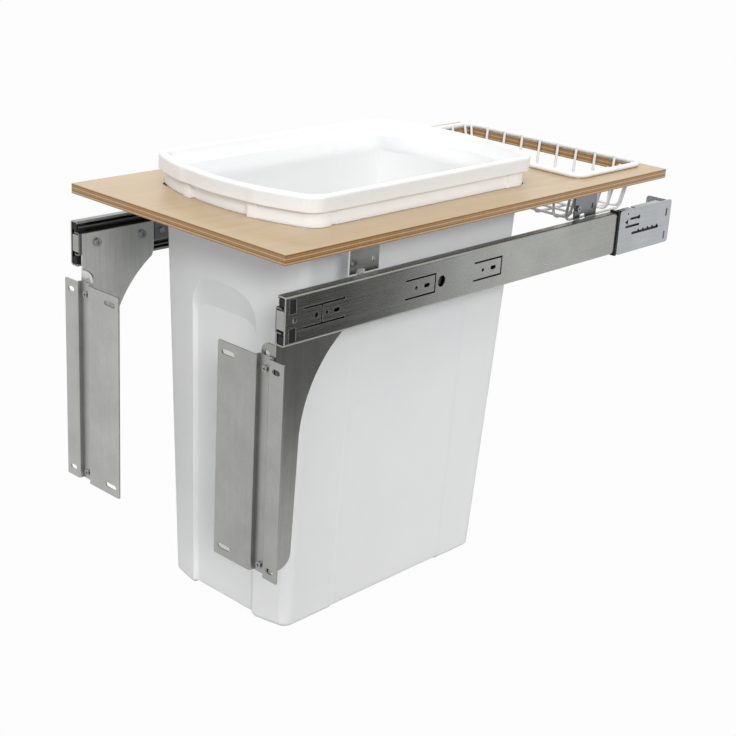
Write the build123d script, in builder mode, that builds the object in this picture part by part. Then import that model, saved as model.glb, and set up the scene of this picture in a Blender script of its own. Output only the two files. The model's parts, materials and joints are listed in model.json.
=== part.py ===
from build123d import *
import math
import os

# Pull-out waste bin unit for a base cabinet, hung between two full-extension ball-bearing slides.
# Millimetres. +Z is up and the unit pulls out towards -Y. The origin is the middle of the platform's
# front edge, on its top face. Right-hand pieces are modelled at +X; their left twins are mirrored.

os.makedirs("parts", exist_ok=True)

# ---------------------------------------------------------------- driving dimensions

# Slides
SLIDE_SPAN = 303.0            # over the outer faces of the two cabinet members
SLIDE_LENGTH = 500.0
SLIDE_HEIGHT = 45.0
SLIDE_THICKNESS = 12.7
SLIDE_DROP = 36.6             # platform top face down to the slide's top edge
CABINET_WALL = 1.4
MIDDLE_WALL = 1.3
DRAWER_WALL = 1.4
CHANNEL_CORNER = 2.8
MEMBER_CORNER = 2.2
CABINET_FLANGE = 10.0         # depth of the cabinet member's channel
MIDDLE_FLANGE = 6.5
DRAWER_FLANGE = 7.4
RACE_LIP = 1.2                # inward curl at the flange tips that keeps the cages in
LIP_WIDTH = 0.8
WEB_GAP = 2.0                 # cabinet web to middle web
OUTER_BALL = 4.0
INNER_BALL = 4.0
BALL_CLEARANCE = 0.05
BALL_PITCH = 21.0
BALLS_PER_STRIP = 9
CAGE_THICKNESS = 1.2
CAGE_SIDE_GAP = 0.4
POCKET_CLEARANCE = 0.1
MIDDLE_SETBACK = 2.0          # middle member's front end behind the cabinet member's
MIDDLE_SHORTER = 20.0         # how much shorter the middle member is than the cabinet member
DRAWER_SETBACK = 0.5
DRAWER_SHORTER = 10.5
RACE_STOP_LENGTH = 8.0
RACE_STOP_SETBACK = 2.4
RACE_STOP_GAP = 0.15
STOP_BUTTON_INSET = 0.4       # stop's button in the end window, below the web's outer face
STOP_BUTTON_BACKING = 0.4     # button behind the web's inner face, clear of the bumper
STOP_STEM_BACKING = 1.6       # its upper half, which joins the stop in the race
CAGE_END_GAP = 8.0            # cage to race stop when the slide is fully open
RACE_CAP_THICKNESS = 1.6      # black caps over the middle member's front end
RACE_CAP_WIDTH = 6.6
RACE_CAP_HEIGHT = 7.6
RACE_CAP_CORNER = 2.4
RACE_CAP_GAP = 0.3            # cap to the cabinet member's lip and flange

# Features of the cabinet member's web, measured from its front end
END_WINDOW_LENGTH = 7.7
END_WINDOW_HEIGHT = 13.0
END_WINDOW_FRONT = 4.8
END_WINDOW_RISE = 13.0        # window centre above and below the centreline
WEB_SLIT = 1.8
SLIT_RELIEF = 2.8             # round relief at the front tab's rear slit ends
TAB_HALF_HEIGHT = 8.8
FIRST_SCREW = 37.0            # first cabinet screw hole behind the front end
SCREW_HOLE = 5.0
PILOT_HOLE = 3.6
END_HOLE = 4.4                # hole between the end windows
END_HOLE_FRONT = 10.8
ACCESS_HOLE = 11.0
ACCESS_HOLE_FRONT = 200.3
TABS = {                      # each cut tab: front end, rear end, position of its cross cut
    "front": (21.3, 70.5, 43.3),
    "middle": (150.0, 192.2, 191.3),
    "rear": (247.5, 290.0, 289.1),
}
TAB_HOLES = {                 # round hole and short slot in each tab
    "front": (49.6, 61.6),
    "middle": (165.0, 179.7),
    "rear": (261.0, 276.5),
}
TAB_SLOT_LENGTH = 8.0
TAB_SLOT_HEIGHT = 4.0

# Front bumper
BUMPER_HEIGHT = 17.0
BUMPER_LENGTH = 12.0
BUMPER_THICKNESS = 9.2
BUMPER_GAP = 0.8              # bumper to the middle member's notch

# Rear bracket and its sleeve
BRACKET_OVERLAP = 13.0        # plate over the slide's rear end
BRACKET_BEYOND = 86.0         # back of the rear flange behind the slide's rear end
BRACKET_WALL = 1.4
BRACKET_SIDE_GAP = 0.2        # slide edge to bracket lip
REAR_FLANGE_WIDTH = 32.0
REAR_FLANGE_INSET = 2.0       # rear flange shorter than the plate, top and bottom
BRACKET_CORNER = 3.8
REAR_LIP_WIDTH = 8.0
REAR_LIP_START = 4.0          # plate ahead of the first lip
REAR_LIP_SPLIT = 6.0
REAR_LIP_FRONT_LENGTH = 20.0
REAR_LIP_TAIL = 21.0          # plate left without a lip ahead of the rear flange
REAR_SCREW_HOLE = 5.0
REAR_SCREW_RISE = 11.0
SLEEVE_WIDTH = 3.2
SLEEVE_WALL = 1.3
SLEEVE_CAP = 1.7              # sleeve over the slide's top and bottom edges
SLEEVE_REACH = 11.5
END_BLOCK_GAP = 1.5           # drawer member's rear end to the end block
END_BLOCK_BEYOND = 66.0        # end block behind the slide's rear end
END_BLOCK_HEIGHT = 34.0
ADJUST_SLOT_LENGTH = 52.0
ADJUST_SLOT_HEIGHT = 2.8
ADJUST_SLOT_CENTRE = 51.0     # this and the next cuts: behind the plate's front edge
ADJUST_SLOT_DROP = 3.4
ADJUST_TOOTH = 1.9
ADJUST_TOOTH_PITCH = 9.0
ADJUST_TEETH = 5
HOOK_SLOT_LENGTH = 19.0
HOOK_SLOT_CENTRE = 29.0
HOOK_END = 2.3                # round end of the upper slot
HOOK_UPPER_RISE = 13.3
HOOK_LOWER_RISE = 5.2
HOOK_LOWER_LENGTH = 26.5
HOOK_LOWER_CENTRE = 25.0
HOOK_SLOT_HEIGHT = 2.6
HOOK_POINT_SIZE = 7.4
HOOK_POINT_FRONT = 14.0
HOOK_POINT_RISE = 10.6
TALL_SLOT_LENGTH = 10.0
TALL_SLOT_WIDTH = 3.0
TALL_SLOT_REAR = 8.5          # ahead of the bracket's rear face
TALL_SLOT_HEIGHTS = (10.6, -15.4)
SMALL_HOLE = 2.2
SMALL_HOLE_FRONT = 15.0
SMALL_HOLE_RISE = 19.6

# Arm plate
ARM_THICKNESS = 2.0
ARM_LENGTH = 87.4             # along the slide
ARM_TOP = 48.2                # below the platform's top face
ARM_BOTTOM = 303.5
ARM_STRIP_TOP = 31.0          # strip's depth where the sweep ends
ARM_STRIP_BOTTOM = 26.4
ARM_SHOULDER = 76.7           # depth where the rear edge turns into the sweep
ARM_SWEEP_RADIUS = 123.4
ARM_SWEEP_END = 186.0         # depth where the sweep meets the strip
ARM_SWEEP_ANGLE = 56.0
ARM_FOOT_RADIUS = 14.0
ARM_FLANGE_WIDTH = 18.3
ARM_EAR_TOP = 84.0
ARM_EAR_RADIUS = 8.0
ARM_EAR_HOLE = 7.0
ARM_EAR_INSET = 7.0           # ear hole from the flange's inner edge
ARM_EAR_DROP = 9.5            # and from its top
ARM_SCREW_FRONT = 17.4        # first arm screw behind the arm's front face
ARM_SCREW_SPACING = 55.0

# Door bracket
DOOR_FACE = 4.2               # door mounting face ahead of the platform's front edge
DOOR_SHEET = 1.6
DOOR_CHANNEL_DEPTH = 5.2
DOOR_CHANNEL_WIDTH = 16.0
DOOR_INNER_FLANGE = 49.2
DOOR_OUTER_FLANGE = 19.5
DOOR_BRACKET_TOP = 94.7
DOOR_BRACKET_HEIGHT = 209.7
DOOR_CORNER = 1.2
DOOR_BEND = 0.6               # inside radius of the folds
DOOR_SLOT_MARGIN = 9.5        # slot centre from the bracket's end
DOOR_SLOT_HEIGHT = 5.0
DOOR_INNER_SLOT_LENGTH = 17.0
DOOR_INNER_SLOT_EDGE = 13.4   # slot centre from the inner flange's edge
DOOR_OUTER_SLOT_LENGTH = 10.0
DOOR_SCREW_HEAD = 6.0
DOOR_SCREW_MARGIN = 11.8
DOOR_SCREW_SPACING = 190.0

# Platform brackets
PLATE_BRACKET_SHEET = 2.0
PLATE_BRACKET_LENGTH = 38.0
PLATE_BRACKET_JOG = 2.8       # web set in from the drawer member's inner face
PLATE_BRACKET_BEND_TOP = 37.5
PLATE_BRACKET_BEND_HEIGHT = 3.5
PLATE_BRACKET_BOTTOM = 68.0
FRONT_FLANGE_WIDTH = 24.0
REAR_PLATE_FLANGE_WIDTH = 10.5 # narrow enough to clear the basket's opening
FRONT_BRACKET_Y = 91.0
REAR_BRACKET_MARGIN = 145.5   # rear bracket's front edge to the platform's rear edge
FRONT_FLANGE_TAIL = 16.0      # flange behind the web
REAR_FLANGE_TAIL = 54.0
NOTCH_WIDTH = 11.0
NOTCH_FRONT = 9.0
NOTCH_TOP = 33.5
NOTCH_HEIGHT = 7.0
BRACKET_SCREW_FRONT = 4.6
BRACKET_SCREW_DROP = 27.0
BRACKET_SCREW_HEAD = 6.2
BRACKET_SLOT_LENGTH = 5.6
BRACKET_SLOT_WIDTH = 3.2
BRACKET_SLOT_REAR = 7.5       # slot centre ahead of the web's rear edge
RIVET_MARGIN = 9.0
RIVET_HEAD = 6.0
RIVET_HEAD_HEIGHT = 1.2
RIVET_SHANK = 3.2

# Platform
PLATFORM_SIDE_GAP = 2.5       # platform edge inside the cabinet member's outer face
PLATFORM_DEPTH = 572.0
PLATFORM_THICKNESS = 10.0
PLATFORM_EDGE_BREAK = 0.6
CUTOUT_CORNER = 10.0

# Waste bin: plan outlines are a half width, the ends at the middle, the bow and the corner radius
BIN_FRONT = 60.0              # body's front at the platform, on the centreline
BIN_REAR_MARGIN = 180.0       # body to the platform's rear edge
BIN_SIDE_MARGIN = 48.0        # body to the platform's side edge
BIN_BOW = 14.0
BIN_CORNER = 12.0
BIN_DEPTH = 414.5             # below the platform's top face
BIN_SIDE_DRAFT = 16.0
BIN_FRONT_DRAFT = 8.0
BIN_REAR_DRAFT = 18.0
BIN_BASE_BOW = 12.0
BIN_WALL = 2.5
BIN_FLOOR = 3.0
BIN_FOOT_HEIGHT = 4.0
BIN_FOOT_HALF_GAP = 47.0      # bare middle of the front and rear base edges
BIN_SIDE_GAP_FRONT = 142.0    # bare middle of the side base edges
BIN_SIDE_GAP_REAR = 307.0
BIN_BASE_RADIUS = 5.0
CUTOUT_CLEARANCE = 2.5        # body to cut-out, each side
CUTOUT_END_CLEARANCE = 1.2
CUTOUT_BOW = 12.0
SEAT_GAP = 0.3                # hanging pieces above the platform
COLLAR_OVERHANG = 6.0         # collar outside the body
COLLAR_END_OVERHANG = 8.0
COLLAR_BOW = 25.0
COLLAR_CORNER = 18.0
GRIP_HALF_WIDTH = 40.0        # set-back middle of the collar, front and rear
GRIP_DEPTH = 4.4
GRIP_RIB_WIDTH = 11.0         # upright ribs beside the set-back
GRIP_RIB_DEPTH = 1.0
SIDE_RELIEF_DEPTH = 1.6
SIDE_RELIEF_FRONT = 95.0
SIDE_RELIEF_REAR = 346.0
SIDE_NOTCH_LENGTH = 8.0       # deeper end of each side relief
SIDE_NOTCH_DEPTH = 2.8
LIP_TOP = 30.7
LIP_HEIGHT = 15.2
LIP_OVERHANG = 4.0            # lip outside the collar
LIP_END_OVERHANG = 6.2
LIP_BOW = 26.0
LIP_CORNER = 20.0
LIP_SKIRT = 2.0
LIP_EDGE_RADIUS = 3.0
LIP_RELIEF = 1.6              # middle of the lip set back, front and rear
LIP_RELIEF_HALF_WIDTH = 50.0
LIP_FACET_RADIUS = 20.0       # where the facets meet the bowed lip
MOUTH_INSET = 1.5             # mouth inside the collar's outline
MOUTH_EDGE_RADIUS = 2.0
PANEL_HALF_WIDTH = 48.0
PANEL_TOP = 73.0
PANEL_DEPTH = 7.0
PANEL_SLOPE = 30.0            # height of the sloping shoulder over the panel
PANEL_SIDE_SLOPE = 6.0
PANEL_CORNER = 18.0

# Wire basket
RIM_SIDE_MARGIN = 25.0        # rim to the platform's side edge
RIM_FRONT_MARGIN = 128.0      # rim's front and rear to the platform's rear edge
RIM_REAR_MARGIN = 11.5
RIM_WIRE = 5.6
RIM_CORNER = 14.0
MESH_WIRE = 3.0
BASKET_DEPTH = 49.6
LONG_WIRES = 10               # wires running front to rear
LONG_WIRE_MARGIN = 7.0        # outermost long wire to the rim's side
CROSS_WIRES = 5               # wires running side to side
CROSS_WIRE_MARGIN = 12.5
WIRE_END_DROP = 0.9            # mesh wires' ends below the rim's top
LEG_DRAFT = 4.0
SIDE_LEG_DRAFT = 12.0
FLOOR_BEND = 9.0
WELD_OVERLAP = 0.4
BASKET_CUTOUT_GAP = 2.2       # mesh wire's centre to the cut-out
BASKET_CUTOUT_CORNER = 8.0

# Fasteners
SCREW_HEAD = 8.0
SCREW_HEAD_HEIGHT = 2.4
SCREW_SHANK = 4.0
SCREW_REACH = 4.6             # shank beyond the sheet under the head
SHANK_CLEARANCE = 0.1
CROSS_LENGTH = 4.4
CROSS_WIDTH = 1.0
CROSS_DEPTH = 0.9
WOOD_HEAD = 7.0
WOOD_HEAD_HEIGHT = 1.8
WOOD_SHANK = 3.0
WOOD_REACH = 7.5

# ---------------------------------------------------------------- worked-out places

slide_x = SLIDE_SPAN / 2                                   # outer face
slide_inner_x = slide_x - SLIDE_THICKNESS                  # inner face of the drawer member
slide_z = -(SLIDE_DROP + SLIDE_HEIGHT / 2)                 # centreline
outer_race = OUTER_BALL + 2 * BALL_CLEARANCE
inner_race = INNER_BALL + 2 * BALL_CLEARANCE
middle_height = SLIDE_HEIGHT - 2 * (CABINET_WALL + outer_race)
drawer_height = middle_height - 2 * (MIDDLE_WALL + inner_race)
cabinet_tip_x = slide_x - CABINET_FLANGE
middle_web_x = slide_x - CABINET_WALL - WEB_GAP
middle_tip_x = middle_web_x - MIDDLE_FLANGE
drawer_tip_x = slide_inner_x + DRAWER_FLANGE

middle_front = MIDDLE_SETBACK
middle_length = SLIDE_LENGTH - MIDDLE_SHORTER
drawer_front = DRAWER_SETBACK
drawer_length = SLIDE_LENGTH - DRAWER_SHORTER
travel = SLIDE_LENGTH                                      # full extension
race_stop_rear = RACE_STOP_SETBACK + RACE_STOP_LENGTH
cage_length = BALL_PITCH * BALLS_PER_STRIP
outer_cage_front = race_stop_rear + CAGE_END_GAP + travel / 4
inner_cage_front = middle_front + RACE_STOP_LENGTH + CAGE_END_GAP + travel / 4

arm_outer_x = slide_inner_x
arm_inner_x = arm_outer_x - ARM_THICKNESS
arm_front = -DOOR_FACE + DOOR_CHANNEL_DEPTH + DOOR_SHEET
door_channel_outer_x = arm_outer_x - ARM_THICKNESS
door_channel_inner_x = door_channel_outer_x - DOOR_CHANNEL_WIDTH
door_screw_x = (door_channel_inner_x + door_channel_outer_x) / 2

platform_width = SLIDE_SPAN - 2 * PLATFORM_SIDE_GAP
rear_bracket_y = PLATFORM_DEPTH - REAR_BRACKET_MARGIN
web_outer_x = slide_inner_x - PLATE_BRACKET_JOG
tab_outer_x = slide_inner_x

bin_half_width = platform_width / 2 - BIN_SIDE_MARGIN
bin_length = PLATFORM_DEPTH - BIN_FRONT - BIN_REAR_MARGIN
bin_centre = BIN_FRONT + bin_length / 2
lip_bottom = LIP_TOP - LIP_HEIGHT
base_z = -BIN_DEPTH

# Plan outlines: half width, front y, rear y, bow, corner radius
BODY = (bin_half_width, BIN_FRONT, BIN_FRONT + bin_length, BIN_BOW, BIN_CORNER)
BASE = (
    bin_half_width - BIN_SIDE_DRAFT,
    BIN_FRONT + BIN_FRONT_DRAFT,
    BIN_FRONT + bin_length - BIN_REAR_DRAFT,
    BIN_BASE_BOW,
    BIN_CORNER,
)
COLLAR = (
    bin_half_width + COLLAR_OVERHANG,
    BIN_FRONT - COLLAR_END_OVERHANG,
    BIN_FRONT + bin_length + COLLAR_END_OVERHANG,
    COLLAR_BOW,
    COLLAR_CORNER,
)
LIP = (
    COLLAR[0] + LIP_OVERHANG,
    COLLAR[1] - LIP_END_OVERHANG,
    COLLAR[2] + LIP_END_OVERHANG,
    LIP_BOW,
    LIP_CORNER,
)
CUTOUT = (
    bin_half_width + CUTOUT_CLEARANCE,
    BIN_FRONT - CUTOUT_END_CLEARANCE,
    BIN_FRONT + bin_length + CUTOUT_END_CLEARANCE,
    CUTOUT_BOW,
    CUTOUT_CORNER,
)


# ---------------------------------------------------------------- shared shapes

def write(piece, name):
    """Labels a finished piece and writes it to its own file."""
    piece.label = name
    export_step(piece, f"parts/{name}.step")


def write_pair(piece, name):
    """Writes the right-hand piece and its mirrored left-hand twin."""
    write(piece, f"right_{name}")
    write(mirror(piece, about=Plane.YZ), f"left_{name}")


def facing_front(y):
    """Plane across the unit at depth y: local x is X, local y is Z, normal towards the front."""
    return Plane(origin=(0, y, 0), x_dir=(1, 0, 0), z_dir=(0, -1, 0))


def facing_inward(x):
    """Plane along the unit at x: local x is -Y, local y is Z, normal towards the middle."""
    return Plane(origin=(x, 0, 0), x_dir=(0, -1, 0), z_dir=(-1, 0, 0))


def channel_section(web_x, tip_x, height, wall, corner):
    """C-shaped section about the slide's centreline: web at web_x, flanges reaching to tip_x."""
    depth = abs(web_x - tip_x)
    open_side = math.copysign(1, tip_x - web_x)
    with Locations((tip_x, slide_z)):
        RectangleRounded(2 * depth, height, corner)
        RectangleRounded(2 * (depth - wall), height - 2 * wall, corner - wall, mode=Mode.SUBTRACT)
    with Locations((tip_x + open_side * depth, slide_z)):
        Rectangle(2 * depth, 2 * height, mode=Mode.SUBTRACT)


def web_cut(y_front, y_rear, z, height):
    """Rectangular cut through the cabinet member's web."""
    with Locations((slide_x, (y_front + y_rear) / 2, slide_z + z)):
        Box(4 * CABINET_WALL, y_rear - y_front, height, mode=Mode.SUBTRACT)


def race_strips(x_inner, x_outer, half_height, thickness, y_front, length):
    """A strip along the upper race and one along the lower race."""
    with BuildSketch(facing_front(y_front + length)) as strips:
        for side in (1, -1):
            with Locations(((x_inner + x_outer) / 2, slide_z + side * half_height)):
                Rectangle(x_outer - x_inner, thickness)
    extrude(strips.sketch, amount=length)


def ball_places(x, half_height, cage_front):
    """Centres of the balls in the upper and lower strip of one cage."""
    rows = range(BALLS_PER_STRIP)
    return [
        (x, cage_front + (row + 0.5) * BALL_PITCH, slide_z + side * half_height)
        for row in rows
        for side in (1, -1)
    ]


def pan_head_screws(seat, points, reach, head=SCREW_HEAD, head_height=SCREW_HEAD_HEIGHT, shank=SCREW_SHANK):
    """Cross-recess screws whose heads stand on the seat plane and whose shanks go through it."""
    with BuildSketch(seat) as heads:
        with Locations(*points):
            Circle(head / 2)
    extrude(heads.sketch, amount=head_height)
    with BuildSketch(seat) as shanks:
        with Locations(*points):
            Circle(shank / 2)
    extrude(shanks.sketch, amount=-reach)
    with BuildSketch(seat.offset(head_height)) as crosses:
        with Locations(*points):
            Rectangle(CROSS_LENGTH, CROSS_WIDTH)
            Rectangle(CROSS_WIDTH, CROSS_LENGTH)
    extrude(crosses.sketch, amount=-CROSS_DEPTH, mode=Mode.SUBTRACT)


def bowed_outline(sketch, outline, inset=0.0):
    """Plan outline with straight sides, bowed ends and rounded corners, inset all round."""
    half_width, front, rear, bow, corner = outline
    x = half_width - inset
    y_front = front + inset
    y_rear = rear - inset
    with BuildLine() as loop:
        Line((x, y_front + bow), (x, y_rear - bow))
        ThreePointArc((x, y_rear - bow), (0, y_rear), (-x, y_rear - bow))
        Line((-x, y_rear - bow), (-x, y_front + bow))
        ThreePointArc((-x, y_front + bow), (0, y_front), (x, y_front + bow))
    make_face(loop.edges())
    fillet(sketch.vertices(), corner - inset)


def bow_depth(half_width, bow, x):
    """How far a bowed end has curved back at x from the middle."""
    radius = (half_width**2 + bow**2) / (2 * bow)
    return radius - math.sqrt(radius**2 - x**2)


def wire_run(points, bend, diameter):
    """Round wire along straight runs joined by bends."""
    with BuildLine() as path:
        FilletPolyline(*points, radius=bend)
    with BuildSketch(Plane(origin=path.line @ 0, z_dir=path.line % 0)) as section:
        Circle(diameter / 2)
    sweep(section.sketch, path=path.line)


# ---------------------------------------------------------------- slides

with BuildPart() as cabinet_member:
    with BuildSketch(facing_front(SLIDE_LENGTH)):
        channel_section(slide_x, cabinet_tip_x, SLIDE_HEIGHT, CABINET_WALL, CHANNEL_CORNER)
        for side in (1, -1):
            lip_z = slide_z + side * (SLIDE_HEIGHT / 2 - CABINET_WALL - RACE_LIP / 2)
            with Locations((cabinet_tip_x + LIP_WIDTH / 2, lip_z)):
                Rectangle(LIP_WIDTH, RACE_LIP)
    extrude(amount=SLIDE_LENGTH)
    for side in (1, -1):
        web_cut(
            END_WINDOW_FRONT,
            END_WINDOW_FRONT + END_WINDOW_LENGTH,
            side * END_WINDOW_RISE,
            END_WINDOW_HEIGHT,
        )
        for tab_front, tab_rear, _ in TABS.values():
            web_cut(tab_front, tab_rear, side * TAB_HALF_HEIGHT, WEB_SLIT)
    for _, _, cross_cut in TABS.values():
        web_cut(cross_cut - WEB_SLIT / 2, cross_cut + WEB_SLIT / 2, 0, 2 * TAB_HALF_HEIGHT)
    with BuildSketch(facing_inward(slide_x)):
        with Locations((-FIRST_SCREW, slide_z)):
            Circle(SCREW_HOLE / 2)
        with Locations((-END_HOLE_FRONT, slide_z)):
            Circle(END_HOLE / 2)
        for side in (1, -1):
            with Locations((-TABS["front"][1], slide_z + side * TAB_HALF_HEIGHT)):
                Circle(SLIT_RELIEF / 2)
        with Locations((-ACCESS_HOLE_FRONT, slide_z)):
            Circle(ACCESS_HOLE / 2)
        for hole_y, slot_y in TAB_HOLES.values():
            with Locations((-hole_y, slide_z)):
                Circle(PILOT_HOLE / 2)
            with Locations((-slot_y, slide_z)):
                SlotOverall(TAB_SLOT_LENGTH, TAB_SLOT_HEIGHT)
    extrude(amount=2 * CABINET_WALL, both=True, mode=Mode.SUBTRACT)
write_pair(cabinet_member.part, "cabinet_member")

with BuildPart() as cabinet_race_stops:
    race_strips(
        cabinet_tip_x + LIP_WIDTH,
        slide_x - CHANNEL_CORNER,
        SLIDE_HEIGHT / 2 - CABINET_WALL - (outer_race - RACE_STOP_GAP) / 2,
        outer_race - RACE_STOP_GAP,
        RACE_STOP_SETBACK,
        RACE_STOP_LENGTH,
    )
    button_height = END_WINDOW_HEIGHT - 2 * RACE_STOP_GAP
    for backing, height in ((STOP_BUTTON_BACKING, button_height), (STOP_STEM_BACKING, button_height / 2)):
        button_rise = END_WINDOW_RISE + (button_height - height) / 2
        with BuildSketch(facing_inward(slide_x - STOP_BUTTON_INSET)):
            for side in (1, -1):
                with Locations((-(END_WINDOW_FRONT + END_WINDOW_LENGTH / 2), slide_z + side * button_rise)):
                    Rectangle(END_WINDOW_LENGTH - 2 * RACE_STOP_GAP, height)
        extrude(amount=CABINET_WALL + backing - STOP_BUTTON_INSET)
write_pair(cabinet_race_stops.part, "cabinet_race_stops")

notch_rear = drawer_front + BUMPER_LENGTH + BUMPER_GAP
with BuildPart() as middle_member:
    with BuildSketch(facing_front(middle_front + middle_length)):
        channel_section(middle_web_x, middle_tip_x, middle_height, MIDDLE_WALL, MEMBER_CORNER)
    extrude(amount=middle_length)
    with Locations((middle_web_x, notch_rear / 2, slide_z)):
        Box(4 * MIDDLE_WALL, notch_rear, BUMPER_HEIGHT + 2 * BUMPER_GAP, mode=Mode.SUBTRACT)
write_pair(middle_member.part, "middle_member")

with BuildPart() as middle_race_stops:
    race_strips(
        middle_tip_x,
        middle_web_x - MEMBER_CORNER,
        middle_height / 2 - MIDDLE_WALL - (inner_race - RACE_STOP_GAP) / 2,
        inner_race - RACE_STOP_GAP,
        middle_front,
        RACE_STOP_LENGTH,
    )
    cap_x = cabinet_tip_x + LIP_WIDTH + RACE_CAP_GAP + RACE_CAP_WIDTH / 2
    cap_rise = SLIDE_HEIGHT / 2 - CABINET_WALL - RACE_CAP_GAP - RACE_CAP_HEIGHT / 2
    with BuildSketch(facing_front(middle_front)):
        with Locations((cap_x, slide_z + cap_rise), (cap_x, slide_z - cap_rise)):
            RectangleRounded(RACE_CAP_WIDTH, RACE_CAP_HEIGHT, RACE_CAP_CORNER)
    extrude(amount=RACE_CAP_THICKNESS)
write_pair(middle_race_stops.part, "middle_race_stops")

outer_race_mid = SLIDE_HEIGHT / 2 - CABINET_WALL - outer_race / 2
inner_race_mid = middle_height / 2 - MIDDLE_WALL - inner_race / 2
outer_cage_inner_x = cabinet_tip_x + LIP_WIDTH + CAGE_SIDE_GAP
outer_cage_outer_x = slide_x - CABINET_WALL - CAGE_SIDE_GAP
inner_cage_inner_x = middle_tip_x + BALL_CLEARANCE
inner_cage_outer_x = middle_web_x - MIDDLE_WALL - BALL_CLEARANCE
outer_ball_x = (outer_cage_inner_x + outer_cage_outer_x) / 2
inner_ball_x = (inner_cage_inner_x + inner_cage_outer_x) / 2
outer_balls_at = ball_places(outer_ball_x, outer_race_mid, outer_cage_front)
inner_balls_at = ball_places(inner_ball_x, inner_race_mid, inner_cage_front)

with BuildPart() as outer_ball_cage:
    race_strips(
        outer_cage_inner_x,
        outer_cage_outer_x,
        outer_race_mid,
        CAGE_THICKNESS,
        outer_cage_front,
        cage_length,
    )
    with Locations(*outer_balls_at):
        Cylinder(OUTER_BALL / 2 + POCKET_CLEARANCE, 2 * CAGE_THICKNESS, mode=Mode.SUBTRACT)
write_pair(outer_ball_cage.part, "outer_ball_cage")

with BuildPart() as outer_balls:
    with Locations(*outer_balls_at):
        Sphere(OUTER_BALL / 2)
write_pair(outer_balls.part, "outer_balls")

with BuildPart() as inner_ball_cage:
    race_strips(
        inner_cage_inner_x,
        inner_cage_outer_x,
        inner_race_mid,
        CAGE_THICKNESS,
        inner_cage_front,
        cage_length,
    )
    with Locations(*inner_balls_at):
        Cylinder(INNER_BALL / 2 + POCKET_CLEARANCE, 2 * CAGE_THICKNESS, mode=Mode.SUBTRACT)
write_pair(inner_ball_cage.part, "inner_ball_cage")

with BuildPart() as inner_balls:
    with Locations(*inner_balls_at):
        Sphere(INNER_BALL / 2)
write_pair(inner_balls.part, "inner_balls")

arm_screw_points = [
    (-(arm_front + ARM_SCREW_FRONT), slide_z),
    (-(arm_front + ARM_SCREW_FRONT + ARM_SCREW_SPACING), slide_z),
]
rivet_points = [
    (-(bracket_y + margin), slide_z)
    for bracket_y in (FRONT_BRACKET_Y, rear_bracket_y)
    for margin in (RIVET_MARGIN, PLATE_BRACKET_LENGTH - RIVET_MARGIN)
]

with BuildPart() as drawer_member:
    with BuildSketch(facing_front(drawer_front + drawer_length)):
        channel_section(slide_inner_x, drawer_tip_x, drawer_height, DRAWER_WALL, MEMBER_CORNER)
    extrude(amount=drawer_length)
    with BuildSketch(facing_inward(slide_inner_x)):
        with Locations(*arm_screw_points):
            Circle(SCREW_SHANK / 2 + SHANK_CLEARANCE)
        with Locations(*rivet_points):
            Circle(RIVET_SHANK / 2 + SHANK_CLEARANCE)
    extrude(amount=-2 * DRAWER_WALL, mode=Mode.SUBTRACT)
write_pair(drawer_member.part, "drawer_member")

with BuildPart() as front_bumper:
    with BuildSketch(facing_inward(slide_inner_x + DRAWER_WALL)):
        with Locations((-(drawer_front + BUMPER_LENGTH / 2), slide_z)):
            RectangleRounded(BUMPER_LENGTH, BUMPER_HEIGHT, PLATFORM_EDGE_BREAK)
    extrude(amount=-BUMPER_THICKNESS)
write_pair(front_bumper.part, "front_bumper")

# ---------------------------------------------------------------- rear bracket and sleeve

bracket_front = SLIDE_LENGTH - BRACKET_OVERLAP
bracket_rear = SLIDE_LENGTH + BRACKET_BEYOND
end_block_rear = SLIDE_LENGTH + END_BLOCK_BEYOND
bracket_half = SLIDE_HEIGHT / 2 + BRACKET_SIDE_GAP + BRACKET_WALL
bracket_outer_x = slide_x + BRACKET_WALL
first_lip = bracket_front + REAR_LIP_START
second_lip = first_lip + REAR_LIP_FRONT_LENGTH + REAR_LIP_SPLIT
lip_spans = [
    (first_lip, REAR_LIP_FRONT_LENGTH),
    (second_lip, bracket_rear - REAR_LIP_TAIL - second_lip),
]
rear_flange_half = bracket_half - REAR_FLANGE_INSET

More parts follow.
